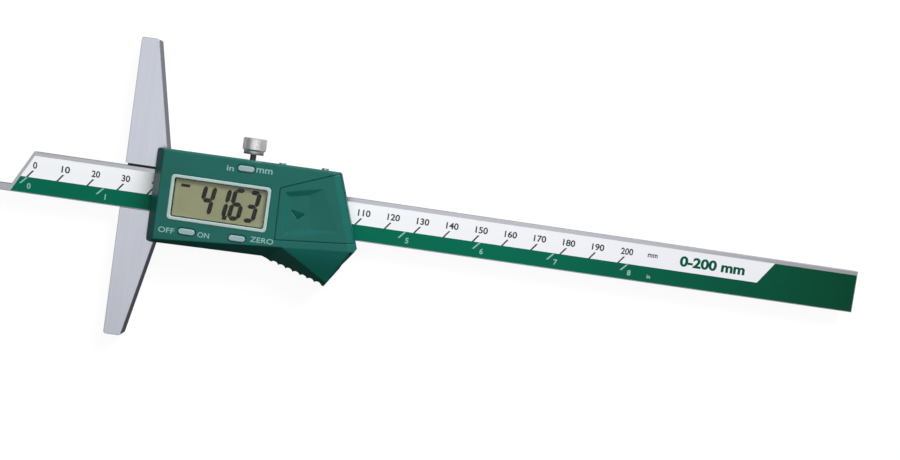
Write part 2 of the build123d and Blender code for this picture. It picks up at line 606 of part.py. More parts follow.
# ---- display: bezel, window, liquid-crystal panel, its holder and the rubber connectors -----------
with BuildPart() as lcd_bezel:
    with BuildSketch(at(CASE_INSIDE_Z, *DISPLAY_CENTRE)):
        RectangleRounded(*BEZEL_SIZE, BEZEL_CORNER)
        RectangleRounded(*BEZEL_OPENING, OPENING_CORNER, mode=Mode.SUBTRACT)
    extrude(amount=BEZEL_FRONT_Z - CASE_INSIDE_Z)
    chamfer(lcd_bezel.faces().sort_by(Axis.Z)[-1].edges(), BEZEL_EDGE)
save(lcd_bezel.part, "lcd_bezel")

with BuildPart() as lcd_window:
    with BuildSketch(at(CASE_INSIDE_Z, *DISPLAY_CENTRE)):
        RectangleRounded(BEZEL_OPENING[0] - FIT_GAP, BEZEL_OPENING[1] - FIT_GAP, OPENING_CORNER)
    extrude(amount=WINDOW_THICKNESS)
save(lcd_window.part, "lcd_window")

panel_low_z = PANEL_TOP_Z - PANEL_THICKNESS
with BuildPart() as lcd_panel:
    with BuildSketch(at(panel_low_z, *DISPLAY_CENTRE)):
        Rectangle(*PANEL_SIZE)
    extrude(amount=PANEL_THICKNESS / 2)
    with BuildSketch(at(panel_low_z + PANEL_THICKNESS / 2, *DISPLAY_CENTRE)):
        Rectangle(PANEL_SIZE[0], PANEL_SIZE[1] - PANEL_LEDGE)
    extrude(amount=PANEL_THICKNESS / 2)
save(lcd_panel.part, "lcd_panel")

with BuildPart() as lcd_holder:
    with BuildSketch(at(BOARD_TOP_Z, *DISPLAY_CENTRE)):
        Rectangle(*HOLDER_SIZE)
        Rectangle(*HOLDER_OPENING, mode=Mode.SUBTRACT)
    extrude(amount=panel_low_z - BOARD_TOP_Z)
save(lcd_holder.part, "lcd_holder")

with BuildPart() as zebra_connectors:
    spacing = HOLDER_OPENING[1] - ZEBRA_SIZE[1]
    with BuildSketch(at(BOARD_TOP_Z, *DISPLAY_CENTRE)):
        with GridLocations(0, spacing, 1, 2):
            Rectangle(*ZEBRA_SIZE)
    extrude(amount=panel_low_z - BOARD_TOP_Z)
save(zebra_connectors.part, "zebra_connectors")

# ---- circuit board with its chip, key domes and screws --------------------------------------------
with BuildPart() as main_board:
    with BuildSketch(at(STEEL_FRONT_Z)):
        with Locations(BOARD_CENTRE):
            Rectangle(*BOARD_SIZE)
        with Locations(*CASE_SCREWS):
            Circle(BOSS_RADIUS + HOLE_GAP, mode=Mode.SUBTRACT)
        with Locations(*BOARD_SCREWS):
            Circle(BOARD_SCREW_RADIUS, mode=Mode.SUBTRACT)
    extrude(amount=BOARD_THICKNESS)
save(main_board.part, "main_board")

with BuildPart() as controller_chip:
    with BuildSketch(at(BOARD_TOP_Z, *DISPLAY_CENTRE)):
        Circle(CHIP_RADIUS)
    extrude(amount=CHIP_HEIGHT)
    fillet(controller_chip.faces().sort_by(Axis.Z)[-1].edges(), CHIP_ROUNDING)
save(controller_chip.part, "controller_chip")

with BuildPart() as key_domes:
    for place in BUTTONS.values():
        with BuildSketch(at(BOARD_TOP_Z, *place)):
            Circle(DOME_RADIUS)
        extrude(amount=DOME_HEIGHT, taper=45)
save(key_domes.part, "key_domes")

with BuildPart() as board_screws:
    for x, y in BOARD_SCREWS:
        with BuildSketch(at(STEEL_FRONT_Z - BOARD_SCREW_HEAD_HEIGHT, x, y)):
            Circle(BOARD_SCREW_HEAD)
        extrude(amount=BOARD_SCREW_HEAD_HEIGHT)
        with BuildSketch(at(STEEL_FRONT_Z, x, y)):
            Circle(BOARD_SCREW_RADIUS)
        extrude(amount=BOARD_SCREW_TOP_Z - STEEL_FRONT_Z)
save(board_screws.part, "board_screws")

case_screw = countersunk_screw(CASE_SCREW_TOP_Z - HOLE_GAP, CASE_SCREW_RADIUS, CASE_SCREW_HEAD)
with BuildPart() as case_screws:
    for x, y in CASE_SCREWS:
        with Locations((X_DATUM + x, y, HOLE_GAP)):
            add(case_screw)
save(case_screws.part, "case_screws")

# ---- buttons --------------------------------------------------------------------------------------
for name, place in BUTTONS.items():
    flange_top_z = CASE_INSIDE_Z - FIT_GAP
    with BuildPart() as button:
        with BuildSketch(at(flange_top_z, *place)):
            SlotOverall(*BUTTON_SIZE)
        extrude(amount=CASE_FRONT_Z + BUTTON_PROUD - flange_top_z)
        fillet(button.faces().sort_by(Axis.Z)[-1].edges(), BUTTON_EDGE)
        with BuildSketch(at(flange_top_z, *place)):
            SlotOverall(*BUTTON_FLANGE)
        extrude(amount=-BUTTON_FLANGE_HEIGHT)
        with BuildSketch(at(flange_top_z, *place)):
            Circle(BUTTON_STEM_RADIUS)
        extrude(amount=BUTTON_STEM_Z - flange_top_z)
    save(button.part, name)
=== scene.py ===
import math

import bmesh
import bpy
from mathutils import Matrix, Vector


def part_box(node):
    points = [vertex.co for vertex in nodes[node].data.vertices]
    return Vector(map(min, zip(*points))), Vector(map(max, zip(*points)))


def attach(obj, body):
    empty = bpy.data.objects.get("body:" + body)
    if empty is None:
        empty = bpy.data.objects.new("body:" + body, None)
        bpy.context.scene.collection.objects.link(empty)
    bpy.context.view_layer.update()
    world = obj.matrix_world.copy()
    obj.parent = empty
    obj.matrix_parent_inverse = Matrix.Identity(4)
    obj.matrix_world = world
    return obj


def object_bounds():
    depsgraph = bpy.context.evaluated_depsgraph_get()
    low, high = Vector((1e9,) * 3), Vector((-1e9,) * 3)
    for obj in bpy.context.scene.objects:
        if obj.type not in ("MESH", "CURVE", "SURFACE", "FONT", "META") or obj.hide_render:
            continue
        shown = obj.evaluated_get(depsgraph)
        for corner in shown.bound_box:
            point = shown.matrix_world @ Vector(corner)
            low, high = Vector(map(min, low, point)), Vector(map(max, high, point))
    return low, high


# The looks of a digital depth caliper. The frame's parts carry the shape; this file gives them
# their finishes and adds what is printed, engraved or displayed on them. Lengths are in metres,
# and MM turns the millimetres that such an instrument is drawn in into metres.

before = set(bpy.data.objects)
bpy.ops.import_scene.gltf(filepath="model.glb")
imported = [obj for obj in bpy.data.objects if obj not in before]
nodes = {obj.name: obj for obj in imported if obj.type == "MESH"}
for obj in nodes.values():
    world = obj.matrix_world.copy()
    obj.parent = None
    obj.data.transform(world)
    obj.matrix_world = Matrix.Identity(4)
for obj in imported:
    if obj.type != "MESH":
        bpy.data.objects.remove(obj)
cad_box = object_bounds()

MM = 0.001
PRINT_DEPTH = 0.02 * MM       # thickness of a layer of printing ink


# ---- materials ----------------------------------------------------------------------------------
SHEEN = 0.25                  # specular level of the plastics and inks, which are all rather matt
CASE_SHEEN = 0.22
# specular level of the arrow's fill of painted shade
ARROW_SHADE_SHEEN = 0.03
FILM_SHEEN = 0.04


class Finish:
    """A Principled material whose sockets are fed, one by one, by procedural detail."""

    def __init__(self, name, colour, roughness, metallic=0.0):
        self.material = bpy.data.materials.new(name)
        self.material.use_nodes = True
        self.material.diffuse_color = (*colour, 1)
        self.tree = self.material.node_tree
        self.shader = self.tree.nodes["Principled BSDF"]
        self.place = self.tree.nodes.new("ShaderNodeTexCoord").outputs["Object"]
        self.colour = colour
        self.normal = None
        self.set("Base Color", (*colour, 1))
        self.set("Roughness", roughness)
        self.set("Metallic", metallic)
        self.set("Specular IOR Level", SHEEN)

    def set(self, socket, value):
        self.shader.inputs[socket].default_value = value

    def noise(self, size, detail=3.0):
        """Noise whose features measure about size along X, Y and Z."""
        stretch = self.tree.nodes.new("ShaderNodeMapping")
        stretch.inputs["Scale"].default_value = [1 / length for length in size]
        self.tree.links.new(self.place, stretch.inputs["Vector"])
        texture = self.tree.nodes.new("ShaderNodeTexNoise")
        texture.inputs["Scale"].default_value = 1.0
        texture.inputs["Detail"].default_value = detail
        self.tree.links.new(stretch.outputs["Vector"], texture.inputs["Vector"])
        return texture.outputs["Fac"]

    def spread(self, factor, low, high, contrast=0.25):
        """Stretches the middle of a noise over the values from low to high."""
        node = self.tree.nodes.new("ShaderNodeMapRange")
        node.inputs["From Min"].default_value = 0.5 - contrast
        node.inputs["From Max"].default_value = 0.5 + contrast
        node.inputs["To Min"].default_value = low
        node.inputs["To Max"].default_value = high
        self.tree.links.new(factor, node.inputs["Value"])
        return node.outputs["Result"]

    def mottle(self, factor, other, amount=1.0):
        """Blends the base colour towards another one where the factor is high."""
        mix = self.tree.nodes.new("ShaderNodeMix")
        mix.data_type = "RGBA"
        before = self.shader.inputs["Base Color"]
        if before.is_linked:
            self.tree.links.new(before.links[0].from_socket, mix.inputs["A"])
        else:
            mix.inputs["A"].default_value = (*self.colour, 1)
        mix.inputs["B"].default_value = (*other, 1)
        self.tree.links.new(self.spread(factor, 0.0, amount), mix.inputs["Factor"])
        self.tree.links.new(mix.outputs["Result"], self.shader.inputs["Base Color"])

    def grime(self, reach, colour):
        """Painted shade: darkens the base colour in narrow gaps and inner corners, by how closed in
        they are.
        """
        shelter = self.tree.nodes.new("ShaderNodeAmbientOcclusion")
        shelter.inputs["Distance"].default_value = reach
        mix = self.tree.nodes.new("ShaderNodeMix")
        mix.data_type = "RGBA"
        before = self.shader.inputs["Base Color"]
        self.tree.links.new(before.links[0].from_socket, mix.inputs["B"])
        mix.inputs["A"].default_value = (*colour, 1)
        self.tree.links.new(self.spread(shelter.outputs["AO"], 0.0, 1.0), mix.inputs["Factor"])
        self.tree.links.new(mix.outputs["Result"], self.shader.inputs["Base Color"])

    def fade(self, axis, start, end, colour):
        """Blends the base colour towards another one along an axis, from start to end."""
        along = self.tree.nodes.new("ShaderNodeSeparateXYZ")
        self.tree.links.new(self.place, along.inputs["Vector"])
        share = self.tree.nodes.new("ShaderNodeMapRange")
        share.inputs["From Min"].default_value = start
        share.inputs["From Max"].default_value = end
        self.tree.links.new(along.outputs[axis], share.inputs["Value"])
        mix = self.tree.nodes.new("ShaderNodeMix")
        mix.data_type = "RGBA"
        before = self.shader.inputs["Base Color"]
        self.tree.links.new(before.links[0].from_socket, mix.inputs["A"])
        mix.inputs["B"].default_value = (*colour, 1)
        self.tree.links.new(share.outputs["Result"], mix.inputs["Factor"])
        self.tree.links.new(mix.outputs["Result"], self.shader.inputs["Base Color"])

    def soften(self, radius):
        """Rounds the look of sharp edges, as the mould leaves them."""
        rounded = self.tree.nodes.new("ShaderNodeBevel")
        rounded.samples = 6
        rounded.inputs["Radius"].default_value = radius
        self.normal = rounded.outputs["Normal"]

    def gloss(self, factor, low, high):
        """Lets the roughness wander between two values."""
        self.tree.links.new(self.spread(factor, low, high), self.shader.inputs["Roughness"])

    def bump(self, factor, depth, strength=1.0):
        """Adds relief of the given depth on top of the relief already there."""
        node = self.tree.nodes.new("ShaderNodeBump")
        node.inputs["Distance"].default_value = depth
        node.inputs["Strength"].default_value = strength
        self.tree.links.new(factor, node.inputs["Height"])
        if self.normal is not None:
            self.tree.links.new(self.normal, node.inputs["Normal"])
        self.normal = node.outputs["Normal"]
        self.tree.links.new(self.normal, self.shader.inputs["Normal"])


def ground_steel(name, colour, along, rough=(0.3, 0.42)):
    """Satin ground steel: fine scratches along one axis and a faint cloudiness."""
    steel = Finish(name, colour, rough[0], metallic=1.0)
    long, short = 30 * MM, 0.12 * MM
    scratches = steel.noise([long if axis == along else short for axis in "xyz"], detail=4.0)
    lines = steel.noise([long * 2 if axis == along else 0.6 * MM for axis in "xyz"])
    clouds = steel.noise([9 * MM] * 3, detail=2.0)
    steel.mottle(lines, [part * 0.86 for part in colour], 0.6)
    steel.mottle(clouds, [part * 0.93 for part in colour], 0.5)
    steel.gloss(scratches, *rough)
    steel.bump(scratches, 0.004 * MM, 0.5)
    # painted shade: the steel turns nearly black in narrow gaps, such as the slot the beam runs in
    steel.grime(2.5 * MM, (0.03, 0.03, 0.035))
    return steel


def turned_steel(name, colour, rough=(0.22, 0.36)):
    """Bright machined steel of the small turned parts."""
    steel = Finish(name, colour, rough[0], metallic=1.0)
    rings = steel.noise([0.1 * MM, 0.1 * MM, 0.1 * MM], detail=4.0)
    steel.gloss(rings, *rough)
    steel.mottle(steel.noise([2 * MM] * 3), [part * 0.82 for part in colour], 0.5)
    steel.bump(rings, 0.004 * MM, 0.4)
    return steel


def moulded(name, colour, rough=(0.4, 0.52), grain=0.16 * MM, relief=0.01 * MM, edge=0.1 * MM):
    """Moulded plastic with a fine spark-eroded grain, a little uneven in tone and gloss."""
    plastic = Finish(name, colour, rough[0])
    plastic.soften(edge)
    texture = plastic.noise([grain] * 3, detail=2.0)
    plastic.bump(texture, relief, 0.5)
    plastic.gloss(plastic.noise([5 * MM] * 3, detail=5.0), *rough)
    plastic.mottle(plastic.noise([12 * MM] * 3), [part * 0.82 for part in colour], 0.6)
    return plastic


def case_plastic(name, colour, sheen=CASE_SHEEN):
    """The green of the case, with a satin gloss and well rounded edges."""
    plastic = moulded(name, colour, (0.3, 0.4), edge=0.6 * MM)
    plastic.set("Specular IOR Level", sheen)
    return plastic


def case_green(name):
    """The case's green, with painted shade that darkens it towards the grip."""
    green = case_plastic(name, (0.005, 0.12, 0.098))
    # painted shade: darker green on the lower flank and the grip, which face away from the light
    green.fade("Y", -12.5 * MM, -16.5 * MM, (0.002, 0.088, 0.064))
    return green


def lock_screw_steel(name):
    """Bright on the knurl, with painted shade that darkens the foot and the stem under the head."""
    steel = turned_steel(name, (0.86, 0.84, 0.85), (0.42, 0.52))
    # painted shade: darker towards the foot, and darker still on the stem, as if shaded by the head
    steel.fade("Y", 18.1 * MM, 16.9 * MM, (0.2, 0.195, 0.22))
    steel.fade("Y", 16.9 * MM, 16.4 * MM, (0.12, 0.12, 0.14))
    return steel


def printed(name, colour, rough=(0.35, 0.5)):
    """Printing ink: almost even, with a trace of the screen that laid it down."""
    ink = Finish(name, colour, rough[0])
    ink.gloss(ink.noise([0.5 * MM] * 3), *rough)
    ink.mottle(ink.noise([0.3 * MM] * 3, detail=4.0), [part * 0.88 + 0.01 for part in colour], 0.5)
    ink.bump(ink.noise([0.15 * MM] * 3), 0.003 * MM, 0.3)
    return ink


def film(name, colour, rough=(0.2, 0.3)):
    """The scale's film: smooth lacquer over even colour."""
    lacquer = Finish(name, colour, rough[0])
    lacquer.set("Specular IOR Level", FILM_SHEEN)
    lacquer.gloss(lacquer.noise([14 * MM] * 3, detail=4.0), *rough)
    lacquer.mottle(lacquer.noise([40 * MM, 6 * MM, 6 * MM]), [part * 0.9 for part in colour], 0.6)
    lacquer.bump(lacquer.noise([3 * MM] * 3, detail=1.0), 0.006 * MM, 0.25)
    return lacquer


def green_film(name):
    """The scale's green, with painted shade that darkens it over the right half of the beam."""
    green = film(name, (0.001, 0.139, 0.078))
    # painted shade: the green darkens towards the right end, as if less light fell there
    green.fade("X", 20 * MM, 146 * MM, (0.003, 0.05, 0.024))
    return green


def white_film(name):
    """The scale's white, with painted shade that greys it towards its far end."""
    white = film(name, (0.93, 0.95, 0.97))
    # painted shade: the white greys towards the far end, as if less light fell there
    white.fade("X", -60 * MM, 100 * MM, (0.74, 0.75, 0.79))
    return white


def window_pane(name):
    """Clear plastic: what lies behind shows through, with the lamps' gloss on top."""
    pane = bpy.data.materials.new(name)
    pane.use_nodes = True
    tree = pane.node_tree
    tree.nodes.remove(tree.nodes["Principled BSDF"])
    clear = tree.nodes.new("ShaderNodeBsdfTransparent")
    clear.inputs["Color"].default_value = (0.98, 0.98, 0.98, 1)
    shine = tree.nodes.new("ShaderNodeBsdfGlossy")
    shine.inputs["Roughness"].default_value = 0.08
    fresnel = tree.nodes.new("ShaderNodeFresnel")
    fresnel.inputs["IOR"].default_value = 1.2
    mix = tree.nodes.new("ShaderNodeMixShader")
    tree.links.new(fresnel.outputs["Fac"], mix.inputs["Fac"])
    tree.links.new(clear.outputs["BSDF"], mix.inputs[1])
    tree.links.new(shine.outputs["BSDF"], mix.inputs[2])
    tree.links.new(mix.outputs["Shader"], tree.nodes["Material Output"].inputs["Surface"])
    return pane


def finishes():
    """One material for each material slot of the record, and one for the painted shade in the
    arrow's recess.
    """
    return {
        "base_steel": ground_steel("base_steel", (0.65, 0.675, 0.75), "y").material,
        "beam_steel": ground_steel("beam_steel", (0.55, 0.55, 0.6), "x").material,
        "screw_steel": turned_steel("screw_steel", (0.7, 0.7, 0.71)).material,
        "lock_steel": lock_screw_steel("lock_steel").material,
        "battery_steel": turned_steel("battery_steel", (0.6, 0.6, 0.6)).material,
        "contact_nickel": turned_steel("contact_nickel", (0.55, 0.5, 0.42)).material,
        "gib_brass": ground_steel("gib_brass", (0.6, 0.42, 0.16), "x").material,
        "bezel_silver": moulded("bezel_silver", (0.42, 0.56, 0.53), (0.25, 0.35)).material,
        "case_green": case_green("case_green").material,
        "button_grey": moulded("button_grey", (0.3, 0.44, 0.45), (0.4, 0.5)).material,
        "holder_black": moulded("holder_black", (0.02, 0.02, 0.022)).material,
        "zebra_rubber": moulded("zebra_rubber", (0.05, 0.05, 0.055), (0.6, 0.7)).material,
        "chip_black": moulded("chip_black", (0.012, 0.012, 0.013), (0.25, 0.4)).material,
        "board_green": moulded("board_green", (0.01, 0.09, 0.03), (0.3, 0.45)).material,
        "strip_laminate": moulded("strip_laminate", (0.25, 0.18, 0.07), (0.4, 0.5)).material,
        "lcd_face": moulded("lcd_face", (0.44, 0.45, 0.263), (0.5, 0.6), 0.08 * MM).material,
        "lcd_segments": printed("lcd_segments", (0.006, 0.01, 0.003)).material,
        "scale_print": white_film("scale_print").material,
        "scale_green": green_film("scale_green").material,
        "scale_ink": printed("scale_ink", (0.035, 0.038, 0.042)).material,
        "legend_white": printed("legend_white", (0.27, 0.47, 0.43)).material,
        "window_clear": window_pane("window_clear"),
        # painted shade: a darker green that fills the arrow's recess
        "arrow_painted_shade": case_plastic("arrow_painted_shade", (0.003, 0.085, 0.064), ARROW_SHADE_SHEEN).material,
    }


finish = finishes()
for node in nodes.values():
    for material_slot in node.material_slots:
        material_slot.material = finish[material_slot.material.name.split(".")[0]]


# ---- building blocks ----------------------------------------------------------------------------
def piece(name, mesh, body, slot, look=None):
    """Adds a mesh, already in place, as a piece that rides on a body. It takes the finish of the
    given slot, unless another one is given as its look."""
    mesh.name = name
    mesh.materials.clear()
    mesh.materials.append(finish[look or slot])
    made = bpy.data.objects.new(name, mesh)
    bpy.context.scene.collection.objects.link(made)
    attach(made, body)


def add_prism(build, outline, low, high):
    """Adds an upright solid on a level outline, given as (x, y) points counterclockwise."""
    lower = [build.verts.new((x, y, low)) for x, y in outline]
    upper = [build.verts.new((x, y, high)) for x, y in outline]
    build.faces.new(upper)
    build.faces.new(lower[::-1])
    count = len(outline)
    for index in range(count):
        after = (index + 1) % count
        build.faces.new((lower[index], lower[after], upper[after], upper[index]))


def add_mark(build, start, end, low, high):
    """Adds a slanted scale mark, cut level at both ends."""
    half = MARK_WIDTH / 2
    foot, head = sorted((start, end), key=lambda point: point[1])
    outline = [
        (foot[0] - half, foot[1]),
        (foot[0] + half, foot[1]),
        (head[0] + half, head[1]),
        (head[0] - half, head[1]),
    ]
    add_prism(build, outline, low, high)


def add_word(build, text, centre, height, low, width=None, weight=0.0):
    """Adds a word in the built-in type: its middle at centre, as tall as height, with its back at
    the level low. Where a width is given, the word is stretched to it."""
    curve = bpy.data.curves.new("type", "FONT")
    curve.body = text
    curve.offset = weight
    curve.extrude = 0.5
    holder = bpy.data.objects.new("type", curve)
    bpy.context.scene.collection.objects.link(holder)
    bpy.context.view_layer.update()
    set_type = holder.evaluated_get(bpy.context.evaluated_depsgraph_get())
    mesh = bpy.data.meshes.new_from_object(set_type)
    corners = [Vector(vertex.co) for vertex in mesh.vertices]
    smallest = Vector([min(corner[axis] for corner in corners) for axis in range(3)])
    largest = Vector([max(corner[axis] for corner in corners) for axis in range(3)])
    size = largest - smallest
    tall = height / size.y
    wide = tall if width is None else width / size.x
    mesh.transform(
        Matrix.Translation((centre[0], centre[1], low + PRINT_DEPTH / 2))
        @ Matrix.Diagonal((wide, tall, PRINT_DEPTH, 1))
        @ Matrix.Translation(-(smallest + largest) / 2)
    )
    build.from_mesh(mesh)
    bpy.data.objects.remove(holder)
    bpy.data.curves.remove(curve)
    bpy.data.meshes.remove(mesh)


def finished(build, name):
    """Turns what was built into a mesh with clean, outward faces."""
    bmesh.ops.recalc_face_normals(build, faces=build.faces)
    mesh = bpy.data.meshes.new(name)
    build.to_mesh(mesh)
    build.free()
    return mesh


# ---- the printed scale --------------------------------------------------------------------------
# Places along the scale are measured from its zero mark, which stands a little in from the tip.
ZERO_FROM_TIP = 10.1 * MM
GREEN_TOP_Y = -1.62 * MM
WHITE_END = (248.2 * MM, 253.4 * MM)   # where the white stops, at the green's edge and at the top
INCH = 25.4 * MM
METRIC_STEP = 10
METRIC_STEPS = 21
INCH_STEPS = 9
METRIC_MARK = Vector((1.75 * MM, 2.3 * MM))
INCH_MARK = Vector((-2.0 * MM, -2.2 * MM))
INCH_MARK_DROP = Vector((0, -0.2 * MM))        # from the green's edge to the mark's upper end
MARK_WIDTH = 0.65 * MM
NUMBER_HEIGHT = 2.25 * MM
INCH_NUMBER_HEIGHT = 1.9 * MM
DIGIT_WIDTH = 1.4 * MM
NUMBER_WEIGHT = 0.025
NUMBER_PLACE = Vector((2.2 * MM, 4.15 * MM))   # a one-digit number's middle, from its mark's foot
NUMBER_SHIFT = Vector((0.15 * MM, 0))          # further right for each digit more
INCH_NUMBER_PLACE = Vector((0.95 * MM, -2.75 * MM))
MM_PLACE = Vector((211.4 * MM, 3.9 * MM))      # the units' middles, from the zero mark
MM_SIZE = (3.4 * MM, 1.25 * MM)
IN_PLACE = Vector((211.0 * MM, -3.3 * MM))
IN_HEIGHT = 1.3 * MM
RANGE_PLACE = Vector((232.2 * MM, 1.95 * MM))  # from the zero mark and the beam's middle
RANGE_SIZE = (22.6 * MM, 3.6 * MM)
RANGE_WEIGHT = 0.04

beam_low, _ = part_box("beam")
label_low, label_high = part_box("scale_label")
zero_x = beam_low.x + ZERO_FROM_TIP
zero_mark = Vector((zero_x, GREEN_TOP_Y))
ink_z = label_high.z
type_z = ink_z - PRINT_DEPTH / 2


def label_left_x(y):
    """Where the label's slanted left edge is at height y."""
    top = [v.co.x for v in nodes["scale_label"].data.vertices if v.co.y > label_high.y - MM / 100]
    share = (y - label_low.y) / (label_high.y - label_low.y)
    return label_low.x + (min(top) - label_low.x) * share


def scale_green_zone():
    """The green along the lower half of the scale, which takes up all of its right end."""
    build = bmesh.new()
    outline = [
        (label_low.x, label_low.y),
        (label_high.x, label_low.y),
        (label_high.x, label_high.y),
        (zero_x + WHITE_END[1], label_high.y),
        (zero_x + WHITE_END[0], GREEN_TOP_Y),
        (label_left_x(GREEN_TOP_Y), GREEN_TOP_Y),
    ]
    add_prism(build, outline, ink_z - PRINT_DEPTH / 2, ink_z + PRINT_DEPTH / 4)
    piece("scale_green_zone", finished(build, "scale_green_zone"), "beam", "scale_green")


def metric_scale():
    """A mark every ten millimetres, rising from the green's edge, with its number above."""
    build = bmesh.new()
    for step in range(METRIC_STEPS):
        reading = step * METRIC_STEP
        foot = zero_mark + Vector((reading * MM, 0))
        add_mark(build, foot, foot + METRIC_MARK, ink_z - PRINT_DEPTH, ink_z + PRINT_DEPTH / 2)
        text = str(reading)
        centre = foot + NUMBER_PLACE + NUMBER_SHIFT * (len(text) - 1)
        add_word(build, text, centre, NUMBER_HEIGHT, type_z, DIGIT_WIDTH * len(text), NUMBER_WEIGHT)
    width, height = MM_SIZE
    add_word(build, "mm", zero_mark + MM_PLACE, height, type_z, width, NUMBER_WEIGHT)
    piece("scale_marks_metric", finished(build, "scale_marks_metric"), "beam", "scale_ink")


def inch_scale():
    """A mark every inch, falling from the green's edge, with its number at the lower right."""
    build = bmesh.new()
    for step in range(INCH_STEPS):
        head = zero_mark + INCH_MARK_DROP + Vector((step * INCH, 0))
        add_mark(build, head, head + INCH_MARK, ink_z - PRINT_DEPTH, ink_z + PRINT_DEPTH)
        centre = head + INCH_NUMBER_PLACE
        add_word(build, str(step), centre, INCH_NUMBER_HEIGHT, ink_z, weight=NUMBER_WEIGHT)
    add_word(build, "in", zero_mark + IN_PLACE, IN_HEIGHT, ink_z, weight=NUMBER_WEIGHT)
    piece("scale_marks_inch", finished(build, "scale_marks_inch"), "beam", "legend_white")


def range_text():
    """The measuring range, in plain type near the scale's far end."""
    build = bmesh.new()
    width, height = RANGE_SIZE
    centre = Vector((zero_x, 0)) + RANGE_PLACE
    add_word(build, "0-200 mm", centre, height, type_z, width, RANGE_WEIGHT)
    piece("range_text", finished(build, "range_text"), "beam", "scale_green")


scale_green_zone()
metric_scale()
inch_scale()
range_text()


# ---- the display --------------------------------------------------------------------------------
# A seven-segment digit is laid out upright about its middle, then leant to the right.
READING = "4163"
LIT = {"1": "bc", "3": "abcdg", "4": "bcfg", "6": "acdefg"}
DIGIT_HALF_WIDTH = 1.5 * MM
DIGIT_HALF_HEIGHT = 4.7 * MM
DIGIT_PITCH = 4.88 * MM
FIRST_DIGIT = Vector((-4.15 * MM, 0.35 * MM))
SEGMENT_WIDTH = 1.45 * MM
SEGMENT_GAP = 0.05 * MM
LEAN_DEGREES = 8
LEAN = math.tan(math.radians(LEAN_DEGREES))
POINT_PLACE = Vector((2.75 * MM, -4.5 * MM))
MINUS_PLACE = Vector((-12.3 * MM, 4.2 * MM))
MINUS_SIZE = (2.9 * MM, 0.95 * MM)
# width of the dark band of painted shade round the display window
WINDOW_SHADE_WIDTH = 0.25 * MM

window_low, window_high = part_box("lcd_window")
_, panel_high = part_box("lcd_panel")
display_middle = (window_low + window_high) / 2


def segment(start, end):
    """The pointed bar of one segment between two corners of a digit."""
    run = (end - start).normalized()
    side = Vector((-run.y, run.x)) * SEGMENT_WIDTH / 2
    start = start + run * SEGMENT_GAP
    end = end - run * SEGMENT_GAP
    shoulder = run * SEGMENT_WIDTH / 2
    return [
        start,
        start + shoulder - side,
        end - shoulder - side,
        end,
        end - shoulder + side,
        start + shoulder + side,
    ]


def digit_segments(digit):
    """The outlines of the bars that are lit in a digit."""
    w, h = DIGIT_HALF_WIDTH, DIGIT_HALF_HEIGHT
    corner = {
        "top_left": Vector((-w, h)),
        "top_right": Vector((w, h)),
        "left": Vector((-w, 0)),
        "right": Vector((w, 0)),
        "low_left": Vector((-w, -h)),
        "low_right": Vector((w, -h)),
    }
    bars = {
        "a": ("top_left", "top_right"),
        "b": ("right", "top_right"),
        "c": ("low_right", "right"),
        "d": ("low_left", "low_right"),
        "e": ("low_left", "left"),
        "f": ("left", "top_left"),
        "g": ("left", "right"),
    }
    return [segment(corner[bars[name][0]], corner[bars[name][1]]) for name in LIT[digit]]


def display_segments():
    """The reading, with its point and a minus sign, as dark segments on the panel."""
    build = bmesh.new()
    low = panel_high.z + PRINT_DEPTH / 2
    high = low + 2 * PRINT_DEPTH

    def add(outline, place):
        corners = [place + Vector(corner) for corner in outline]
        leant = [display_middle.xy + corner + Vector((LEAN * corner.y, 0)) for corner in corners]
        add_prism(build, leant, low, high)

    for index, digit in enumerate(READING):
        place = FIRST_DIGIT + Vector((index * DIGIT_PITCH, 0))
        for outline in digit_segments(digit):
            add(outline, place)
    half = SEGMENT_WIDTH / 2
    add([(-half, -half), (half, -half), (half, half), (-half, half)], POINT_PLACE)
    x, y = MINUS_SIZE[0] / 2, MINUS_SIZE[1] / 2
    add([(-x, -y), (x, -y), (x, y), (-x, y)], MINUS_PLACE)
    piece("lcd_digits", finished(build, "lcd_digits"), "slider", "lcd_segments")


def window_mask():
    """A dark band round the window's edge, against the bezel: painted shade, standing in for the
    shade that the bezel's walls cast on the display.
    """
    build = bmesh.new()
    low, high = window_low, window_high
    inset = Vector((WINDOW_SHADE_WIDTH, WINDOW_SHADE_WIDTH))
    sides = [
        (low.xy, Vector((low.x + inset.x, high.y))),
        (Vector((high.x - inset.x, low.y)), high.xy),
        (Vector((low.x + inset.x, low.y)), Vector((high.x - inset.x, low.y + inset.y))),
        (Vector((low.x + inset.x, high.y - inset.y)), Vector((high.x - inset.x, high.y))),
    ]
    for first, last in sides:
        outline = [(first.x, first.y), (last.x, first.y), (last.x, last.y), (first.x, last.y)]
        add_prism(build, outline, low.z - PRINT_DEPTH, low.z)
    piece("window_mask", finished(build, "window_mask"), "slider", "holder_black")


display_segments()
window_mask()


# ---- legends on the case ------------------------------------------------------------------------
# Each legend stands beside its button: text, offset from the button's middle, width, height, in
# millimetres.
LEGEND_WEIGHT = 0.01
LEGENDS = {
    "button_off_on": [("OFF", -6.6, -0.3, 5.2, 1.75), ("ON", 5.6, -0.3, 3.8, 1.75)],
    "button_zero": [("ZERO", 8.2, 0.5, 7.6, 1.75)],
    "button_unit": [("in", -5.1, -0.5, 2.3, 1.75), ("mm", 6.0, 0.1, 5.3, 1.5)],
}

_, case_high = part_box("case_front")


def legends():
    """The words beside the buttons."""
    build = bmesh.new()
    back_z = case_high.z - PRINT_DEPTH / 2
    for button, words in LEGENDS.items():
        low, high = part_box(button)
        middle = (low + high) / 2
        for text, x, y, width, height in words:
            centre = (middle.x + x * MM, middle.y + y * MM)
            add_word(build, text, centre, height * MM, back_z, width * MM, LEGEND_WEIGHT)
    piece("case_legends", finished(build, "case_legends"), "slider", "legend_white")


legends()


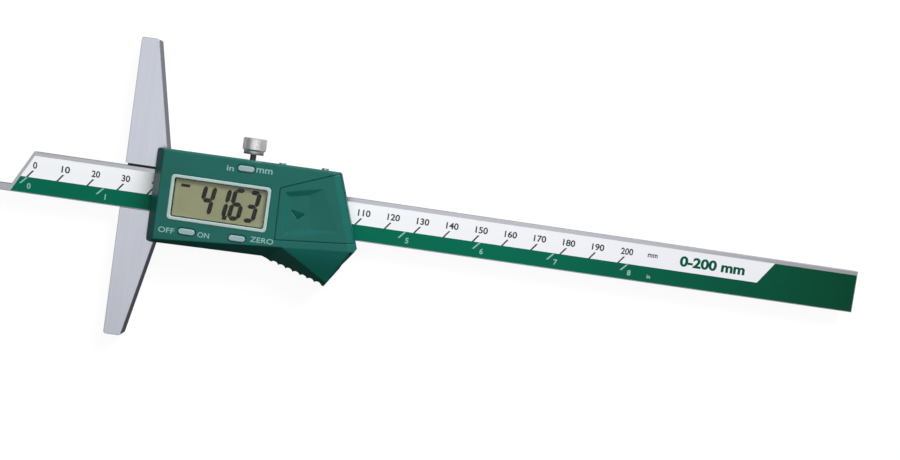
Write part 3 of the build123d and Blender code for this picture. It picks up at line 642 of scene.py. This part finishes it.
# ---- arrow on the battery cover -----------------------------------------------------------------
# The arrow's corners are measured from the base's measuring face. Its recess is filled with a
# darker green of painted shade.
ARROW = [(57.2, 0.5), (59.7, -2.2), (61.8, -0.3)]
ARROW_BACK = 1.0 * MM          # depths under the cover's front
ARROW_FRONT = 0.64 * MM
ARROW_INSET = 0.05 * MM


def arrow():
    """A dark green fill in the arrow's recess: painted shade, for the shade that falls inside the
    recess.
    """
    build = bmesh.new()
    base_low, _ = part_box("base_slider")
    corners = [Vector((base_low.x + x * MM, y * MM)) for x, y in ARROW]
    middle = (corners[0] + corners[1] + corners[2]) / 3
    outline = [tuple(corner + (middle - corner).normalized() * ARROW_INSET) for corner in corners]
    front_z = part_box("battery_cover")[1].z
    add_prism(build, outline, front_z - ARROW_BACK - PRINT_DEPTH / 2, front_z - ARROW_FRONT)
    mesh = finished(build, "cover_arrow")
    piece("cover_arrow", mesh, "battery_cover", "case_green", look="arrow_painted_shade")


arrow()


# ---- floor, lamps and camera --------------------------------------------------------------------
FLOOR_REACH = 20.0
FLOOR_GREY = 0.12
FLOOR_GLOW = 0.92
# Brightness of the surround by height, which is 0 at the horizon and 1 straight above. The height
# counts for more towards -Y, and for less towards +Y.
SURROUND = [
    (-1.2, 0.03),
    (-1.0, 0.1),
    (-0.85, 0.35),
    (-0.4, 0.45),
    (0.0, 0.48),
    (0.35, 0.3),
    (0.8, 0.12),
]
SURROUND_SPAN = 1.3
SURROUND_BLUE = 1.02          # the surround is a trace bluer than grey
SURROUND_STRENGTH = 0.67      # and brighter by these shares towards +X and +Y
SURROUND_TO_X = 0.2
SURROUND_TO_Y = 0.33
KEY_PLACE = (0.38, 0.68, 0.55)
KEY_SIZE = (0.5, 0.5)
KEY_WATTS = 11.0
TOP_PLACE = (-0.05, 0.05, 0.9)
TOP_SIZE = (0.95, 0.85)
TOP_WATTS = 2.6
SENSOR_WIDTH = 36.0           # in millimetres, as the lens
LENS = 48.0
CLOSEST_SIGHT = 0.01
CAMERA_PLACE = Vector((92.86, 23.51, 410.48)) * MM     # from the base's measuring face
CAMERA_RIGHT = Vector((0.98867, 0.14606, 0.03466))
CAMERA_UP = Vector((-0.14378, 0.98773, -0.06101))


def stage():
    """A plain pale floor, level with the instrument's back. Only the camera sees it, so that it
    throws no light up at the instrument's sides."""
    build = bmesh.new()
    bmesh.ops.create_grid(build, x_segments=1, y_segments=1, size=FLOOR_REACH)
    floor = bpy.data.objects.new("floor", finished(build, "floor"))
    floor.location.z = cad_box[0].z - PRINT_DEPTH
    paint = Finish("floor_paint", [FLOOR_GREY] * 3, 0.9)
    paint.set("Specular IOR Level", 0.0)
    paint.set("Emission Color", (1, 1, 1, 1))
    paint.set("Emission Strength", FLOOR_GLOW)
    floor.data.materials.append(paint.material)
    floor.visible_diffuse = False
    floor.visible_glossy = False
    bpy.context.scene.collection.objects.link(floor)


def lamp(name, place, size, watts):
    """A white softbox that faces the origin."""
    light = bpy.data.lights.new(name, "AREA")
    light.shape = "RECTANGLE"
    light.size, light.size_y = size
    light.energy = watts
    holder = bpy.data.objects.new(name, light)
    holder.location = place
    holder.rotation_euler = (-Vector(place)).to_track_quat("-Z", "Y").to_euler()
    bpy.context.scene.collection.objects.link(holder)


def studio():
    """A dim surround for the fill and the metals' reflections: a band of light round the horizon
    that is brighter towards +X and +Y, and dark straight below."""
    world = bpy.data.worlds.new("studio")
    world.use_nodes = True
    tree = world.node_tree

    def reckon(operation, *values):
        node = tree.nodes.new("ShaderNodeMath")
        node.operation = operation
        for socket, value in zip(node.inputs, values):
            if isinstance(value, float):
                socket.default_value = value
            else:
                tree.links.new(value, socket)
        return node.outputs["Value"]

    around = tree.nodes.new("ShaderNodeTexCoord").outputs["Generated"]
    direction = tree.nodes.new("ShaderNodeSeparateXYZ")
    tree.links.new(around, direction.inputs["Vector"])
    x, y, z = (direction.outputs[axis] for axis in "XYZ")
    height = reckon("MULTIPLY", z, reckon("SUBTRACT", 1.0, y))
    ramp = tree.nodes.new("ShaderNodeValToRGB")
    tree.links.new(reckon("MULTIPLY_ADD", height, 0.5 / SURROUND_SPAN, 0.5), ramp.inputs["Fac"])
    stops = ramp.color_ramp.elements
    while len(stops) < len(SURROUND):
        stops.new(1.0)
    for stop, (level, grey) in zip(stops, SURROUND):
        stop.position = 0.5 + 0.5 * level / SURROUND_SPAN
        stop.color = (grey, grey, grey * SURROUND_BLUE, 1)
    backdrop = tree.nodes["Background"]
    tree.links.new(ramp.outputs["Color"], backdrop.inputs["Color"])
    strength = reckon("MULTIPLY_ADD", y, SURROUND_TO_Y, SURROUND_STRENGTH)
    strength = reckon("MULTIPLY_ADD", x, SURROUND_TO_X, strength)
    tree.links.new(strength, backdrop.inputs["Strength"])
    bpy.context.scene.world = world


def lamps():
    lamp("key", KEY_PLACE, KEY_SIZE, KEY_WATTS)
    lamp("top", TOP_PLACE, TOP_SIZE, TOP_WATTS)


def camera():
    """Looks almost straight down on the display side, a little from the right and from above."""
    lens = bpy.data.cameras.new("camera")
    lens.sensor_width = SENSOR_WIDTH
    lens.lens = LENS
    lens.clip_start = CLOSEST_SIGHT
    holder = bpy.data.objects.new("camera", lens)
    axes = Matrix((CAMERA_RIGHT, CAMERA_UP, CAMERA_RIGHT.cross(CAMERA_UP)))
    base_low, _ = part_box("base_slider")
    place = Vector((base_low.x, 0, 0)) + CAMERA_PLACE
    holder.matrix_world = Matrix.Translation(place) @ axes.transposed().to_4x4()
    bpy.context.scene.collection.objects.link(holder)
    bpy.context.scene.camera = holder


stage()
studio()
lamps()
camera()
bpy.context.scene.view_settings.view_transform = "Standard"
